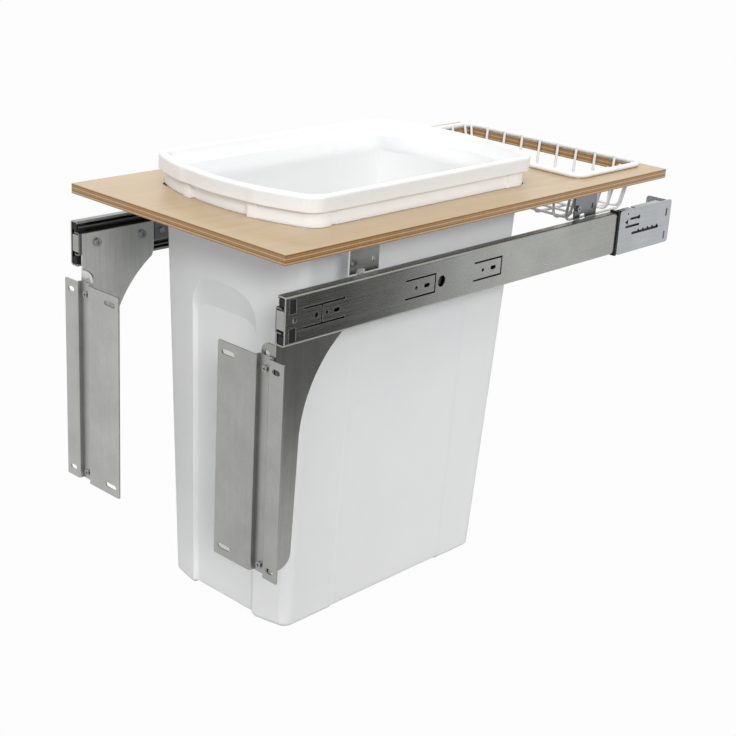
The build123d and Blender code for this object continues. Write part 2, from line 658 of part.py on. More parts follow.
with BuildPart() as rear_bracket:
    with BuildSketch(facing_inward(bracket_outer_x)):
        with Locations((-(bracket_front + bracket_rear) / 2, slide_z)):
            RectangleRounded(bracket_rear - bracket_front, 2 * bracket_half, BRACKET_CORNER)
    extrude(amount=BRACKET_WALL)
    for side in (1, -1):
        for span_front, span_length in lip_spans:
            with Locations(
                (
                    bracket_outer_x - REAR_LIP_WIDTH / 2,
                    span_front + span_length / 2,
                    slide_z + side * (bracket_half - BRACKET_WALL / 2),
                )
            ):
                Box(REAR_LIP_WIDTH, span_length, BRACKET_WALL)
    with BuildSketch(facing_front(bracket_rear)):
        with Locations((bracket_outer_x - REAR_FLANGE_WIDTH / 2, slide_z)):
            RectangleRounded(REAR_FLANGE_WIDTH, 2 * rear_flange_half, BRACKET_CORNER)
            with Locations((-REAR_FLANGE_WIDTH / 8, REAR_SCREW_RISE), (-REAR_FLANGE_WIDTH / 8, -REAR_SCREW_RISE)):
                Circle(REAR_SCREW_HOLE / 2, mode=Mode.SUBTRACT)
    extrude(amount=BRACKET_WALL)
    with BuildSketch(facing_inward(bracket_outer_x)):
        with Locations((-(bracket_front + ADJUST_SLOT_CENTRE), slide_z - ADJUST_SLOT_DROP)):
            SlotOverall(ADJUST_SLOT_LENGTH, ADJUST_SLOT_HEIGHT)
            with Locations((-ADJUST_TOOTH_PITCH / 2, ADJUST_SLOT_HEIGHT / 2)):
                with GridLocations(ADJUST_TOOTH_PITCH, 1, ADJUST_TEETH, 1):
                    Circle(ADJUST_TOOTH)
        with Locations((-(bracket_front + HOOK_SLOT_CENTRE), slide_z + HOOK_UPPER_RISE)):
            SlotOverall(HOOK_SLOT_LENGTH, HOOK_SLOT_HEIGHT)
            with Locations((HOOK_END - HOOK_SLOT_LENGTH / 2, 0)):
                Circle(HOOK_END)
        with Locations((-(bracket_front + HOOK_LOWER_CENTRE), slide_z + HOOK_LOWER_RISE)):
            SlotOverall(HOOK_LOWER_LENGTH, HOOK_SLOT_HEIGHT)
        with Locations((-(bracket_front + HOOK_POINT_FRONT), slide_z + HOOK_POINT_RISE)):
            RegularPolygon(HOOK_POINT_SIZE / 2, 3)
        with Locations((-(bracket_front + SMALL_HOLE_FRONT), slide_z + SMALL_HOLE_RISE)):
            Circle(SMALL_HOLE / 2)
        for slot_rise in TALL_SLOT_HEIGHTS:
            with Locations((-(bracket_rear - TALL_SLOT_REAR), slide_z + slot_rise)):
                SlotOverall(TALL_SLOT_LENGTH, TALL_SLOT_WIDTH, rotation=90)
    extrude(amount=BRACKET_WALL, mode=Mode.SUBTRACT)
write_pair(rear_bracket.part, "rear_bracket")

with BuildPart() as bracket_sleeve:
    with BuildSketch(facing_front(bracket_front)):
        sleeve_centre_x = slide_x + SLEEVE_WALL - SLEEVE_REACH / 2
        with Locations((sleeve_centre_x, slide_z)):
            Rectangle(SLEEVE_REACH, SLIDE_HEIGHT + 2 * SLEEVE_CAP)
        with Locations((sleeve_centre_x - SLEEVE_WALL, slide_z)):
            Rectangle(SLEEVE_REACH, SLIDE_HEIGHT, mode=Mode.SUBTRACT)
    extrude(amount=SLEEVE_WIDTH)
write_pair(bracket_sleeve.part, "bracket_sleeve")

end_block_front = drawer_front + drawer_length + END_BLOCK_GAP
end_block_inner_x = cabinet_tip_x + LIP_WIDTH + RACE_STOP_GAP
plug_outer_x = slide_x - CABINET_WALL
with BuildPart() as rear_end_block:
    with BuildSketch(facing_inward(slide_x)):
        with Locations((-(SLIDE_LENGTH + end_block_rear) / 2, slide_z)):
            Rectangle(end_block_rear - SLIDE_LENGTH, END_BLOCK_HEIGHT)
    extrude(amount=slide_x - end_block_inner_x)
    with BuildSketch(facing_inward(plug_outer_x)):
        with Locations((-(end_block_front + SLIDE_LENGTH) / 2, slide_z)):
            Rectangle(SLIDE_LENGTH - end_block_front, END_BLOCK_HEIGHT)
    extrude(amount=plug_outer_x - end_block_inner_x)
write_pair(rear_end_block.part, "rear_end_block")

# ---------------------------------------------------------------- arm plates and door brackets

strip_top_y = arm_front + ARM_STRIP_TOP
strip_bottom_y = arm_front + ARM_STRIP_BOTTOM
sweep_centre_y = strip_top_y + ARM_SWEEP_RADIUS
sweep_angle = math.radians(ARM_SWEEP_ANGLE)
sweep_start = (
    sweep_centre_y - ARM_SWEEP_RADIUS * math.cos(sweep_angle),
    -ARM_SWEEP_END + ARM_SWEEP_RADIUS * math.sin(sweep_angle),
)
sweep_middle = (
    sweep_centre_y - ARM_SWEEP_RADIUS * math.cos(sweep_angle / 2),
    -ARM_SWEEP_END + ARM_SWEEP_RADIUS * math.sin(sweep_angle / 2),
)
flange_centre_x = arm_outer_x - ARM_FLANGE_WIDTH / 2
ear_hole = (arm_outer_x - ARM_FLANGE_WIDTH + ARM_EAR_INSET, -(ARM_EAR_TOP + ARM_EAR_DROP))
door_screw_points = [
    (door_screw_x, -(DOOR_BRACKET_TOP + DOOR_SCREW_MARGIN)),
    (door_screw_x, -(DOOR_BRACKET_TOP + DOOR_SCREW_MARGIN + DOOR_SCREW_SPACING)),
]

with BuildPart() as arm_plate:
    with BuildSketch(Plane.YZ.offset(arm_inner_x)) as plate:
        with BuildLine():
            Polyline(
                (strip_top_y, -ARM_SWEEP_END),
                (strip_bottom_y, -ARM_BOTTOM),
                (arm_front, -ARM_BOTTOM),
                (arm_front, -ARM_TOP),
                (arm_front + ARM_LENGTH, -ARM_TOP),
                (arm_front + ARM_LENGTH, -ARM_SHOULDER),
                sweep_start,
            )
            ThreePointArc(sweep_start, sweep_middle, (strip_top_y, -ARM_SWEEP_END))
        make_face()
        foot_corner = plate.vertices().group_by(Axis.Y)[0].sort_by(Axis.X)[-1]
        fillet(foot_corner, ARM_FOOT_RADIUS)
        with Locations(*[(-y, z) for y, z in arm_screw_points]):
            Circle(SCREW_SHANK / 2 + SHANK_CLEARANCE, mode=Mode.SUBTRACT)
    extrude(amount=ARM_THICKNESS)
    with BuildSketch(facing_front(arm_front + ARM_THICKNESS)) as flange:
        with Locations((flange_centre_x, -(ARM_EAR_TOP + ARM_BOTTOM) / 2)):
            Rectangle(ARM_FLANGE_WIDTH, ARM_BOTTOM - ARM_EAR_TOP)
        ear_corner = flange.vertices().group_by(Axis.Y)[-1].sort_by(Axis.X)[0]
        fillet(ear_corner, ARM_EAR_RADIUS)
        with Locations(ear_hole):
            Circle(ARM_EAR_HOLE / 2, mode=Mode.SUBTRACT)
        with Locations(*door_screw_points):
            Circle(SCREW_SHANK / 2 + SHANK_CLEARANCE, mode=Mode.SUBTRACT)
    extrude(amount=ARM_THICKNESS)
write_pair(arm_plate.part, "arm_plate")

with BuildPart() as arm_screws:
    pan_head_screws(
        facing_inward(arm_inner_x),
        arm_screw_points,
        ARM_THICKNESS + DRAWER_WALL + SCREW_REACH / 2,
    )
write_pair(arm_screws.part, "arm_screws")

door_face_y = -DOOR_FACE
channel_floor_y = door_face_y + DOOR_CHANNEL_DEPTH
inner_edge_x = door_channel_inner_x - DOOR_INNER_FLANGE
outer_edge_x = door_channel_outer_x + DOOR_OUTER_FLANGE
inner_slot_x = inner_edge_x + DOOR_INNER_SLOT_EDGE
outer_slot_x = (door_channel_outer_x + outer_edge_x) / 2
door_bracket_bottom = -(DOOR_BRACKET_TOP + DOOR_BRACKET_HEIGHT)
slot_heights = (-DOOR_BRACKET_TOP - DOOR_SLOT_MARGIN, door_bracket_bottom + DOOR_SLOT_MARGIN)

with BuildPart() as door_bracket:
    with BuildSketch(Plane.XY.offset(door_bracket_bottom)) as fold_section:
        with BuildLine():
            Polyline(
                (inner_edge_x, door_face_y),
                (door_channel_inner_x, door_face_y),
                (door_channel_inner_x, channel_floor_y),
                (door_channel_outer_x, channel_floor_y),
                (door_channel_outer_x, door_face_y),
                (outer_edge_x, door_face_y),
                (outer_edge_x, door_face_y + DOOR_SHEET),
                (door_channel_outer_x + DOOR_SHEET, door_face_y + DOOR_SHEET),
                (door_channel_outer_x + DOOR_SHEET, channel_floor_y + DOOR_SHEET),
                (door_channel_inner_x - DOOR_SHEET, channel_floor_y + DOOR_SHEET),
                (door_channel_inner_x - DOOR_SHEET, door_face_y + DOOR_SHEET),
                (inner_edge_x, door_face_y + DOOR_SHEET),
                close=True,
            )
        make_face()
        rows = fold_section.vertices().group_by(Axis.Y)
        outside_bends = rows[0].sort_by(Axis.X)[1:3] + rows[-1]
        inside_bends = rows[1].sort_by(Axis.X)[1:3] + rows[-2]
        fillet(outside_bends, DOOR_SHEET + DOOR_BEND)
        fillet(inside_bends, DOOR_BEND)
    extrude(amount=DOOR_BRACKET_HEIGHT)
    side_edges = door_bracket.edges().filter_by(Axis.Y).filter_by(lambda e: e.length < 1.01 * DOOR_SHEET)
    outer_corners = side_edges.group_by(Axis.X)[0] + side_edges.group_by(Axis.X)[-1]
    fillet(outer_corners, DOOR_CORNER)
    with BuildSketch(facing_front(door_face_y + DOOR_SHEET)):
        for slot_z in slot_heights:
            with Locations((inner_slot_x, slot_z)):
                SlotOverall(DOOR_INNER_SLOT_LENGTH, DOOR_SLOT_HEIGHT)
            with Locations((outer_slot_x, slot_z)):
                SlotOverall(DOOR_OUTER_SLOT_LENGTH, DOOR_SLOT_HEIGHT)
    extrude(amount=DOOR_SHEET, mode=Mode.SUBTRACT)
    with BuildSketch(facing_front(arm_front)):
        with Locations(*door_screw_points):
            Circle(SCREW_SHANK / 2 + SHANK_CLEARANCE)
    extrude(amount=DOOR_SHEET, mode=Mode.SUBTRACT)
write_pair(door_bracket.part, "door_bracket")

with BuildPart() as door_bracket_screws:
    pan_head_screws(
        facing_front(channel_floor_y),
        door_screw_points,
        DOOR_SHEET + ARM_THICKNESS + SCREW_REACH,
        head=DOOR_SCREW_HEAD,
    )
write_pair(door_bracket_screws.part, "door_bracket_screws")

# ---------------------------------------------------------------- platform brackets

platform_bottom = -PLATFORM_THICKNESS
web_inner_x = web_outer_x - PLATE_BRACKET_SHEET
bracket_screw_points = []
flange_screw_points = []
brackets = {
    "front_platform_bracket": (FRONT_BRACKET_Y, FRONT_FLANGE_TAIL, FRONT_FLANGE_WIDTH),
    "rear_platform_bracket": (rear_bracket_y, REAR_FLANGE_TAIL, REAR_PLATE_FLANGE_WIDTH),
}

for bracket_name, (bracket_y, flange_tail, flange_width) in brackets.items():
    web_rear = bracket_y + PLATE_BRACKET_LENGTH
    bend_bottom = -(PLATE_BRACKET_BEND_TOP + PLATE_BRACKET_BEND_HEIGHT)
    flange_screw_x = (web_outer_x - flange_width + web_inner_x) / 2
    web_screw = (-(bracket_y + BRACKET_SCREW_FRONT), -BRACKET_SCREW_DROP)
    flange_screws = [
        (flange_screw_x, bracket_y + PLATE_BRACKET_LENGTH / 2),
        (flange_screw_x, web_rear + flange_tail - WOOD_HEAD),
    ]
    bracket_screw_points.append(web_screw)
    flange_screw_points.extend(flange_screws)
    with BuildPart() as platform_bracket:
        with BuildSketch(facing_front(web_rear)):
            with BuildLine():
                Polyline(
                    (web_outer_x, platform_bottom),
                    (web_outer_x, -PLATE_BRACKET_BEND_TOP),
                    (tab_outer_x, bend_bottom),
                    (tab_outer_x, -PLATE_BRACKET_BOTTOM),
                    (tab_outer_x - PLATE_BRACKET_SHEET, -PLATE_BRACKET_BOTTOM),
                    (tab_outer_x - PLATE_BRACKET_SHEET, bend_bottom),
                    (web_inner_x, -PLATE_BRACKET_BEND_TOP),
                    (web_inner_x, platform_bottom),
                    close=True,
                )
            make_face()
        extrude(amount=PLATE_BRACKET_LENGTH)
        with BuildSketch(Plane.XY.offset(platform_bottom)):
            flange_length = PLATE_BRACKET_LENGTH + flange_tail
            with Locations((web_outer_x - flange_width / 2, bracket_y + flange_length / 2)):
                Rectangle(flange_width, flange_length)
        extrude(amount=-PLATE_BRACKET_SHEET)
        with BuildSketch(facing_inward(slide_inner_x)):
            notch_y = bracket_y + NOTCH_FRONT + NOTCH_WIDTH / 2
            with Locations((-notch_y, -NOTCH_TOP - NOTCH_HEIGHT / 2)):
                RectangleRounded(NOTCH_WIDTH, NOTCH_HEIGHT, NOTCH_HEIGHT / 3)
            with Locations((-(web_rear - BRACKET_SLOT_REAR), -BRACKET_SCREW_DROP)):
                SlotOverall(BRACKET_SLOT_LENGTH, BRACKET_SLOT_WIDTH, rotation=90)
            with Locations(web_screw):
                Circle(SCREW_SHANK / 2 + SHANK_CLEARANCE)
            with Locations((-(bracket_y + RIVET_MARGIN), slide_z), (-(web_rear - RIVET_MARGIN), slide_z)):
                Circle(RIVET_SHANK / 2 + SHANK_CLEARANCE)
        extrude(amount=3 * PLATE_BRACKET_SHEET, mode=Mode.SUBTRACT)
        with BuildSketch(Plane.XY.offset(platform_bottom)):
            with Locations(*flange_screws):
                Circle(WOOD_SHANK / 2 + SHANK_CLEARANCE)
        extrude(amount=-PLATE_BRACKET_SHEET, mode=Mode.SUBTRACT)
    write_pair(platform_bracket.part, bracket_name)

with BuildPart() as platform_bracket_screws:
    with BuildSketch(facing_inward(web_outer_x)):
        with Locations(*bracket_screw_points):
            Circle(SCREW_SHANK / 2)
    extrude(amount=PLATE_BRACKET_SHEET + SCREW_REACH / 2)
    with BuildSketch(facing_inward(web_outer_x)):
        with Locations(*bracket_screw_points):
            Circle(BRACKET_SCREW_HEAD / 2)
    extrude(amount=-SCREW_HEAD_HEIGHT)
    with BuildSketch(facing_inward(web_outer_x + SCREW_HEAD_HEIGHT)):
        with Locations(*bracket_screw_points):
            Rectangle(CROSS_LENGTH, CROSS_WIDTH)
            Rectangle(CROSS_WIDTH, CROSS_LENGTH)
    extrude(amount=CROSS_DEPTH, mode=Mode.SUBTRACT)
write_pair(platform_bracket_screws.part, "platform_bracket_screws")

with BuildPart() as platform_bracket_rivets:
    rivet_seat = slide_inner_x - PLATE_BRACKET_SHEET
    with BuildSketch(facing_inward(rivet_seat)):
        with Locations(*rivet_points):
            Circle(RIVET_HEAD / 2)
    extrude(amount=RIVET_HEAD_HEIGHT)
    with BuildSketch(facing_inward(rivet_seat)):
        with Locations(*rivet_points):
            Circle(RIVET_SHANK / 2)
    extrude(amount=-(PLATE_BRACKET_SHEET + DRAWER_WALL + RIVET_HEAD_HEIGHT))
write_pair(platform_bracket_rivets.part, "platform_bracket_rivets")

with BuildPart() as platform_screws:
    all_flange_screws = [(side * x, y) for x, y in flange_screw_points for side in (1, -1)]
    seat = Plane(origin=(0, 0, platform_bottom - PLATE_BRACKET_SHEET), x_dir=(1, 0, 0), z_dir=(0, 0, -1))
    pan_head_screws(
        seat,
        [(x, -y) for x, y in all_flange_screws],
        PLATE_BRACKET_SHEET + WOOD_REACH,
        head=WOOD_HEAD,
        head_height=WOOD_HEAD_HEIGHT,
        shank=WOOD_SHANK,
    )
write(platform_screws.part, "platform_screws")

# ---------------------------------------------------------------- platform

rim_half_width = platform_width / 2 - RIM_SIDE_MARGIN
rim_front = PLATFORM_DEPTH - RIM_FRONT_MARGIN
rim_rear = PLATFORM_DEPTH - RIM_REAR_MARGIN
rim_to_leg = (RIM_WIRE + MESH_WIRE) / 2 - WELD_OVERLAP
leg_front = rim_front + rim_to_leg
leg_rear = rim_rear - rim_to_leg
leg_x = rim_half_width - rim_to_leg
basket_cutout_centre = (leg_front + leg_rear) / 2

with BuildPart() as platform:
    with BuildSketch(Plane.XY) as sheet:
        with Locations((0, PLATFORM_DEPTH / 2)):
            Rectangle(platform_width, PLATFORM_DEPTH)
    extrude(amount=-PLATFORM_THICKNESS)
    fillet(platform.edges().filter_by(Plane.XY), PLATFORM_EDGE_BREAK)
    with BuildSketch(Plane.XY) as bin_hole:
        bowed_outline(bin_hole, CUTOUT)
    extrude(amount=-PLATFORM_THICKNESS, mode=Mode.SUBTRACT)
    with BuildSketch(Plane.XY):
        with Locations((0, basket_cutout_centre)):
            RectangleRounded(
                2 * (leg_x + BASKET_CUTOUT_GAP),
                leg_rear - leg_front + 2 * BASKET_CUTOUT_GAP,
                BASKET_CUTOUT_CORNER,
            )
    extrude(amount=-PLATFORM_THICKNESS, mode=Mode.SUBTRACT)
    with BuildSketch(Plane.XY.offset(platform_bottom)):
        with Locations(*all_flange_screws):
            Circle(WOOD_SHANK / 2 + SHANK_CLEARANCE)
    extrude(amount=WOOD_REACH + SHANK_CLEARANCE, mode=Mode.SUBTRACT)
write(platform.part, "platform")

# ---------------------------------------------------------------- waste bin

front_lean = math.atan2(BIN_FRONT_DRAFT, BIN_DEPTH)
front_normal = (0, -math.cos(front_lean), -math.sin(front_lean))


def panel_block(depth, half_width, top, corner):
    """Arch-topped outline of the recessed front panel, that far behind the front face's middle."""
    face = Plane(origin=(0, BIN_FRONT, 0), x_dir=(1, 0, 0), z_dir=front_normal).offset(-depth)
    height = BIN_DEPTH + 2 * corner - top
    with BuildSketch(face) as block:
        with Locations((0, -top - height / 2)):
            RectangleRounded(2 * half_width, height, corner)
    return block.sketch


def panel_blocks(wall):
    """Wide section ahead of the front face and narrow one at the panel, grown by a wall thickness."""
    return [
        panel_block(
            -PANEL_DEPTH,
            PANEL_HALF_WIDTH + PANEL_SIDE_SLOPE + wall,
            PANEL_TOP - PANEL_SLOPE - wall,
            PANEL_CORNER + wall,
        ),
        panel_block(
            PANEL_DEPTH + wall,
            PANEL_HALF_WIDTH - PANEL_SIDE_SLOPE + wall,
            PANEL_TOP + PANEL_SLOPE - wall,
            PANEL_CORNER + wall,
        ),
    ]


with BuildPart() as panel_cutter:
    loft(panel_blocks(0))

with BuildPart() as panel_backing:
    loft(panel_blocks(BIN_WALL))

def middle_strip(half_width, mode):
    """Band across the bin's whole length, centred on it."""
    with Locations((0, bin_centre)):
        Rectangle(2 * half_width, 2 * bin_length, mode=mode)


def collar_plan():
    """Collar's plan: a set-back grip between ribs at each end and a shallow relief along each side."""
    with BuildSketch() as grips:
        bowed_outline(grips, COLLAR, GRIP_DEPTH)
    with BuildSketch() as ribs:
        bowed_outline(ribs, COLLAR, -GRIP_RIB_DEPTH)
        middle_strip(GRIP_HALF_WIDTH + GRIP_RIB_WIDTH, Mode.INTERSECT)
        middle_strip(GRIP_HALF_WIDTH, Mode.SUBTRACT)
    with BuildSketch() as plan:
        bowed_outline(plan, COLLAR)
        middle_strip(GRIP_HALF_WIDTH, Mode.SUBTRACT)
        add(grips.sketch)
        add(ribs.sketch)
        for side in (1, -1):
            relief_length = SIDE_RELIEF_REAR - SIDE_RELIEF_FRONT
            with Locations((side * COLLAR[0], SIDE_RELIEF_FRONT + relief_length / 2)):
                Rectangle(2 * SIDE_RELIEF_DEPTH, relief_length, mode=Mode.SUBTRACT)
            with Locations((side * COLLAR[0], SIDE_RELIEF_FRONT + SIDE_NOTCH_LENGTH / 2)):
                Rectangle(2 * SIDE_NOTCH_DEPTH, SIDE_NOTCH_LENGTH, mode=Mode.SUBTRACT)
    return plan.sketch


def lip_plan(inset=0.0):
    """Lip's plan, inset all round: at each end its middle is set back between two flat facets."""
    half_width, front, rear, bow, _ = LIP
    facet = inset + bow_depth(half_width - inset, bow, LIP_RELIEF_HALF_WIDTH)
    with BuildSketch() as middle:
        bowed_outline(middle, LIP, inset + LIP_RELIEF)
    with BuildSketch() as plan:
        bowed_outline(plan, LIP, inset)
        middle_strip(LIP_RELIEF_HALF_WIDTH, Mode.SUBTRACT)
        add(middle.sketch)
        with Locations((0, bin_centre)):
            Rectangle(2 * LIP_RELIEF_HALF_WIDTH, rear - front - 2 * facet)
        facet_ends = plan.vertices().filter_by(lambda v: abs(v.X) < 1.01 * LIP_RELIEF_HALF_WIDTH)
        fillet(facet_ends, LIP_FACET_RADIUS)
    return plan.sketch


cavity_sections = {            # height: outline and inset
    LIP_TOP: (COLLAR, MOUTH_INSET),
    lip_bottom: (COLLAR, GRIP_DEPTH + BIN_WALL),
    -BIN_WALL: (BODY, BIN_WALL),
    base_z + BIN_FOOT_HEIGHT + BIN_FLOOR: (BASE, BIN_WALL),
}

with BuildPart() as bin_cavity:
    for height, (outline, inset) in cavity_sections.items():
        with BuildSketch(Plane.XY.offset(height)) as section:
            bowed_outline(section, outline, inset)
    loft(ruled=True)
    add(panel_backing.part, mode=Mode.SUBTRACT)

with BuildPart() as lip_groove:
    extrude(Pos(0, 0, lip_bottom) * lip_plan(LIP_SKIRT), amount=LIP_HEIGHT - LIP_SKIRT)
    with BuildSketch(Plane.XY.offset(lip_bottom)) as groove_inner:
        bowed_outline(groove_inner, COLLAR)
    extrude(amount=LIP_HEIGHT - LIP_SKIRT, mode=Mode.SUBTRACT)

with BuildPart() as waste_bin:
    with BuildSketch(Plane.XY.offset(SEAT_GAP)) as body_top:
        bowed_outline(body_top, BODY)
    with BuildSketch(Plane.XY.offset(base_z)) as body_base:
        bowed_outline(body_base, BASE)
    loft()
    fillet(waste_bin.edges().group_by(Axis.Z)[0], BIN_BASE_RADIUS)
    add(panel_cutter.part, mode=Mode.SUBTRACT)
    with Locations((0, bin_centre, base_z)):
        Box(2 * BIN_FOOT_HALF_GAP, 2 * bin_length, 2 * BIN_FOOT_HEIGHT, mode=Mode.SUBTRACT)
    with Locations((0, (BIN_SIDE_GAP_FRONT + BIN_SIDE_GAP_REAR) / 2, base_z)):
        Box(
            4 * bin_half_width,
            BIN_SIDE_GAP_REAR - BIN_SIDE_GAP_FRONT,
            2 * BIN_FOOT_HEIGHT,
            mode=Mode.SUBTRACT,
        )
    extrude(Pos(0, 0, SEAT_GAP) * collar_plan(), amount=lip_bottom - SEAT_GAP)
    extrude(Pos(0, 0, lip_bottom) * lip_plan(), amount=LIP_HEIGHT)
    fillet(waste_bin.edges().group_by(Axis.Z)[-1], LIP_EDGE_RADIUS)
    add(lip_groove.part, mode=Mode.SUBTRACT)
    add(bin_cavity.part, mode=Mode.SUBTRACT)
    mouth = waste_bin.faces().sort_by(Axis.Z)[-1].inner_wires()
    fillet(mouth.edges(), MOUTH_EDGE_RADIUS)
write(waste_bin.part, "waste_bin")

# ---------------------------------------------------------------- wire basket

rim_z = SEAT_GAP + RIM_WIRE / 2
wire_end_z = rim_z + RIM_WIRE / 2 - WIRE_END_DROP
long_floor_z = -BASKET_DEPTH
cross_floor_z = -BASKET_DEPTH + MESH_WIRE - WELD_OVERLAP
long_pitch = 2 * (rim_half_width - LONG_WIRE_MARGIN) / (LONG_WIRES - 1)
cross_pitch = (rim_rear - rim_front - 2 * CROSS_WIRE_MARGIN) / (CROSS_WIRES - 1)

with BuildPart() as wire_basket:
    with BuildLine() as rim_path:
        FilletPolyline(
            (rim_half_width, rim_front, rim_z),
            (rim_half_width, rim_rear, rim_z),
            (-rim_half_width, rim_rear, rim_z),
            (-rim_half_width, rim_front, rim_z),
            radius=RIM_CORNER,
            close=True,
        )
    with BuildSketch(Plane(origin=rim_path.line @ 0, z_dir=rim_path.line % 0)):
        Circle(RIM_WIRE / 2)
    sweep(path=rim_path.line)
    for wire in range(LONG_WIRES):
        x = (wire - (LONG_WIRES - 1) / 2) * long_pitch
        floor_x = math.copysign(min(abs(x), leg_x - SIDE_LEG_DRAFT - MESH_WIRE / 2), x)
        wire_run(
            [
                (x, leg_front, wire_end_z),
                (floor_x, leg_front + LEG_DRAFT, long_floor_z),
                (floor_x, leg_rear - LEG_DRAFT, long_floor_z),
                (x, leg_rear, wire_end_z),
            ],
            FLOOR_BEND,
            MESH_WIRE,
        )
    for wire in range(CROSS_WIRES):
        y = basket_cutout_centre + (wire - (CROSS_WIRES - 1) / 2) * cross_pitch
        wire_run(
            [
                (-leg_x, y, wire_end_z),
                (-leg_x + SIDE_LEG_DRAFT, y, cross_floor_z),
                (leg_x - SIDE_LEG_DRAFT, y, cross_floor_z),
                (leg_x, y, wire_end_z),
            ],
            FLOOR_BEND,
            MESH_WIRE,
        )
write(wire_basket.part, "wire_basket")
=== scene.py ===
import json
import math

import bpy
from mathutils import Matrix, Vector


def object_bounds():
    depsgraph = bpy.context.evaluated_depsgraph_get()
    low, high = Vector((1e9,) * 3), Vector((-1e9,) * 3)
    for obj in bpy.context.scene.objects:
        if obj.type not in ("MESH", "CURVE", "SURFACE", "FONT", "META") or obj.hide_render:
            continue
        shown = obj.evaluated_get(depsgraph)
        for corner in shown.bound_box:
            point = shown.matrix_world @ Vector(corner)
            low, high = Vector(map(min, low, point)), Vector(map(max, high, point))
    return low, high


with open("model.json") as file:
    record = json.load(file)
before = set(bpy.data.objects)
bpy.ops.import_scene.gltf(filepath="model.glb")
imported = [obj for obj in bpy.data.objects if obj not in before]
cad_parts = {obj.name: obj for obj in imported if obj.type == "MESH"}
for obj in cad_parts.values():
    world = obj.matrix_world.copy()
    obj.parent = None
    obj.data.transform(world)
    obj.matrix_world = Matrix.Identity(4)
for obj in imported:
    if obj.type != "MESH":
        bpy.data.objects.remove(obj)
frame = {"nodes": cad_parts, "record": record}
NODES = frame["nodes"]
cad_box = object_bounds()

IMAGE = 736.0                      # the picture is square
FOCAL_PIXELS = 1470.04
SENSOR_MM = 36.0
CLIP_START, CLIP_END = 0.05, 50.0
AZIMUTH, ELEVATION, ROLL = 42.512, 20.512, 3.367
TARGET = Vector((0.0652, 0.2, -0.1716))
DISTANCE = 1.46649
FLOOR_Z = cad_box[0][2] - 0.0004   # just under the lowest face
FLOOR_SIZE = 6.0                   # half of the floor's side
FLOOR_GLOW = 0.975                 # share of the floor that shows as plain white
FLOOR_CLOTH = 0.2                  # grey that bounces light up

# Dark to light along the studio flag: places as shares of its length, then strengths
CARD_FADE = {"From Min": 0.55, "From Max": 0.75, "To Min": 0.07, "To Max": 1.2}

SMOOTH_ANGLE = 28.0                # sharper edges stay creased
SHADER_SAMPLES = 4                 # rays of a rounded edge or a crevice
STEP_WIDTH = 0.003
PANEL_RISE = 0.0004                # faint raised panel along the bin's side
SIDE_PANEL = (0.142, 0.307)        # its front and rear
FACING = 0.8                       # share of a normal that counts as facing an axis
PLY_THICKNESS = 0.010
ALONG_SLIDE = (900, 9, 900)        # grain of rolled steel, fine across and long along
UPRIGHT = (700, 700, 10)


# ---------------------------------------------------------------- node helpers

